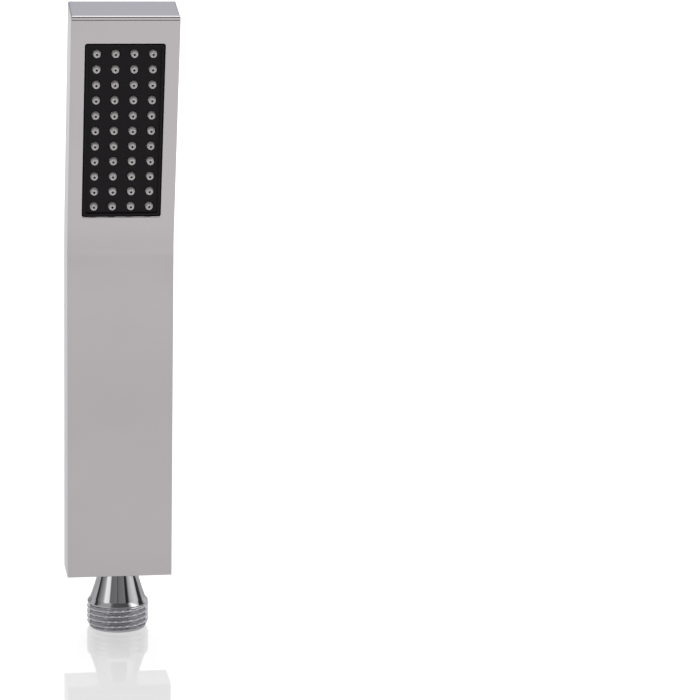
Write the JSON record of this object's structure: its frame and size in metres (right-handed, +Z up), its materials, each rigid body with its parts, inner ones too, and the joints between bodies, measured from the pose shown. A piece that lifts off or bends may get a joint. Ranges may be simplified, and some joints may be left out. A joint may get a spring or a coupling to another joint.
{
  "type": "handheld shower head",
  "caption": "Slim square-bar hand shower: bent chrome handle, recessed black spray plate with soft nozzles, flared inlet with a male hose thread, and a sprung check valve inside.",
  "frame": {"origin": "centre of the inlet thread's end face", "axes": "+Z up the handle towards the head, -Y the way the spray leaves, +X to the right of someone who faces the spray; the hose leaves towards -Z"},
  "size_m": [0.0354, 0.0349, 0.2151],
  "materials": {
    "polished_chrome": "polished",
    "black_plate": "satin",
    "grey_silicone": "matte",
    "black_rubber": "matte",
    "white_plastic": "satin",
    "grey_plastic": "satin",
    "green_plastic": "satin",
    "stainless_steel": "satin",
    "bare_brass": "satin"
  },
  "bodies": {
    "handset": {"body_shell": "polished_chrome", "end_cap": "polished_chrome", "end_cap_seal": "black_rubber", "base_plate": "polished_chrome", "inlet_fitting": "polished_chrome", "fitting_washer": "stainless_steel", "fitting_locknut": "bare_brass", "fitting_oring": "black_rubber", "flow_regulator": "green_plastic", "flow_ring": "black_rubber", "inlet_strainer": "stainless_steel", "valve_housing": "white_plastic", "valve_cap": "white_plastic", "valve_spring": "stainless_steel", "lower_tube_oring": "black_rubber", "water_tube": "white_plastic", "upper_tube_oring": "black_rubber", "tube_spacer_lower": "grey_plastic", "tube_spacer_upper": "grey_plastic", "nozzle_bezel": "black_plate", "nozzle_mat": "grey_silicone", "spray_tray": "grey_plastic", "tray_screws": "stainless_steel", "backing_pad": "black_rubber"},
    "poppet": {"valve_poppet": "white_plastic", "poppet_seal": "black_rubber"}
  },
  "joints": [
    {"name": "check_valve_slide", "type": "slide", "parent": "handset", "child": "poppet", "axis": [0, 0, 1], "range_m": [0, 0.002], "stiffness_N_per_m": 40, "springref_m": -0.003, "deforming": ["valve_spring"]}
  ]
}
